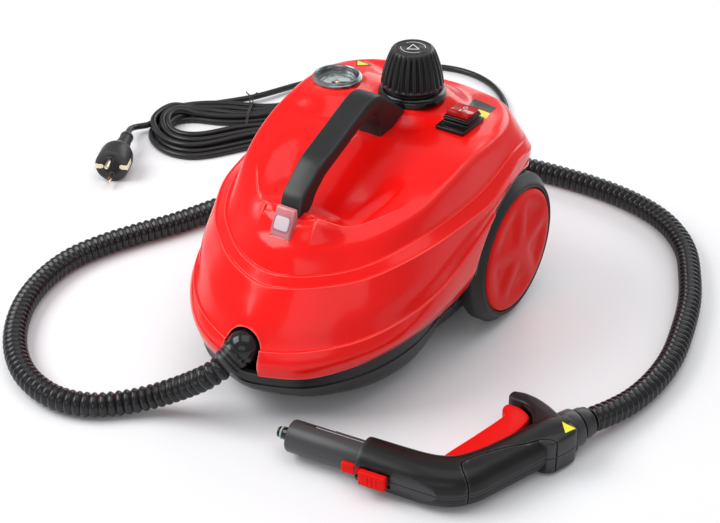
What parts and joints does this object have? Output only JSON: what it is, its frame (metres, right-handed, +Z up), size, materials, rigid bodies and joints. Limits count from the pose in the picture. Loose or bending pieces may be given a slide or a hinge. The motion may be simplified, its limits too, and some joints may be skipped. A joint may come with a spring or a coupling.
{
  "type": "canister steam cleaner",
  "caption": "Wheeled canister steam cleaner with a carrying handle, a screw cap, a pressure gauge, a corrugated hose with a hand-held steam gun, and a coiled mains lead.",
  "frame": {"origin": "on the floor, under the middle of the box that holds the machine and its steam gun together, without the hose and the mains lead", "axes": "+Z up, -Y towards the nose of the machine where the hose leaves it, +X towards its right wheel, on the side where the steam gun lies"},
  "size_m": [0.7301, 0.8044, 0.249],
  "materials": {
    "red_gloss": "gloss",
    "red_plastic": "satin gloss",
    "black_satin": "satin",
    "black_gloss": "gloss",
    "rubber": "matt",
    "tyre_rubber": "smooth",
    "chrome": "polished",
    "steel": "brushed",
    "brass": "polished",
    "clear_lens": "clear",
    "gauge_glass": "clear",
    "dial": "printed",
    "seal": "matt"
  },
  "bodies": {
    "machine": {"upper_shell": "red_gloss", "carry_handle": "black_satin", "base_tray": "black_satin", "indicator_lens": "clear_lens", "indicator_lamp": "clear_lens", "gauge_case": "chrome", "gauge_bezel": "chrome", "gauge_dial": "dial", "gauge_glass": "gauge_glass", "boiler_lower": "steel", "boiler_upper": "steel", "neck_tube": "steel", "heating_element": "steel", "thermostat": "steel", "thermal_fuse": "brass", "steam_valve": "brass", "steam_pipe": "brass", "gauge_pipe": "brass", "terminal_block": "dial", "filler_collar": "black_satin", "switch_frame": "black_gloss", "wheel_axle_left": "steel", "axle_clip_left": "steel", "wheel_axle_right": "steel", "axle_clip_right": "steel", "hose_socket": "black_gloss", "hose_cuff": "black_satin", "steam_hose": "rubber", "gun_shell_upper": "black_satin", "gun_shell_lower": "black_satin", "gun_grip_panel_upper": "rubber", "gun_grip_panel_lower": "rubber", "gun_barrel": "black_satin", "gun_nozzle": "black_gloss", "nozzle_seal": "seal", "gun_collar": "black_satin", "mains_gland": "rubber", "mains_lead": "rubber", "cord_hank": "rubber", "cord_tie": "black_satin", "lead_tail": "rubber", "plug_body": "black_satin", "plug_pin_a": "brass", "plug_pin_b": "brass"},
    "wheel_left": {"tyre_left": "tyre_rubber", "wheel_hub_left": "black_satin", "hubcap_left": "red_plastic"},
    "wheel_right": {"tyre_right": "tyre_rubber", "wheel_hub_right": "black_satin", "hubcap_right": "red_plastic"},
    "caster": {"caster_fork": "black_satin", "caster_pin": "steel"},
    "caster_roller": {"caster_wheel": "rubber"},
    "cap_lift": {"cap_seal": "rubber"},
    "cap": {"safety_cap": "black_satin", "cap_plug": "brass"},
    "rocker": {"switch_rocker": "red_plastic"},
    "needle": {"gauge_needle": "black_satin"},
    "trigger": {"gun_trigger": "red_plastic"},
    "lock_slide": {"gun_lock_slide": "red_plastic"}
  },
  "joints": [
    {"name": "wheel_left_spin", "type": "hinge", "parent": "machine", "child": "wheel_left", "pos_m": [-0.1917, 0.0935, 0.0743], "axis": [1, 0, 0], "continuous": true},
    {"name": "wheel_right_spin", "type": "hinge", "parent": "machine", "child": "wheel_right", "pos_m": [0.0383, 0.0935, 0.0743], "axis": [1, 0, 0], "continuous": true},
    {"name": "caster_swivel", "type": "hinge", "parent": "machine", "child": "caster", "pos_m": [-0.0767, -0.1142, 0.03], "axis": [0, 0, 1], "continuous": true},
    {"name": "caster_roll", "type": "hinge", "parent": "caster", "child": "caster_roller", "pos_m": [-0.0767, -0.1072, 0.011], "axis": [1, 0, 0], "continuous": true},
    {"name": "cap_rise", "type": "slide", "parent": "machine", "child": "cap_lift", "axis": [0, 0, 1], "range_m": [0, 0.006]},
    {"name": "cap_turn", "type": "hinge", "parent": "cap_lift", "child": "cap", "pos_m": [-0.0767, 0.1028, 0.22], "axis": [0, 0, 1], "range_deg": [0, 1080]},
    {"name": "rocker_tilt", "type": "hinge", "parent": "machine", "child": "rocker", "pos_m": [-0.0137, 0.0882, 0.2034], "axis": [1, 0, 0], "range_deg": [0, 20]},
    {"name": "needle_sweep", "type": "hinge", "parent": "machine", "child": "needle", "pos_m": [-0.1487, 0.0828, 0.2], "axis": [0, 0, -1], "range_deg": [0, 270]},
    {"name": "trigger_squeeze", "type": "hinge", "parent": "machine", "child": "trigger", "pos_m": [0.12824, -0.16287, 0.019], "axis": [0, 0, -1], "range_deg": [0, 5.5], "stiffness_Nm_per_rad": 0.4, "springref_deg": -5.73},
    {"name": "lock_slide_pull", "type": "slide", "parent": "machine", "child": "lock_slide", "axis": [0.9932, 0.1167, 0], "range_m": [0, 0.004], "stiffness_N_per_m": 300, "springref_m": -0.002}
  ],
  "couplings": [
    {"joint": "cap_rise", "follows": "cap_turn", "m_per_rad": 0.00031831}
  ]
}
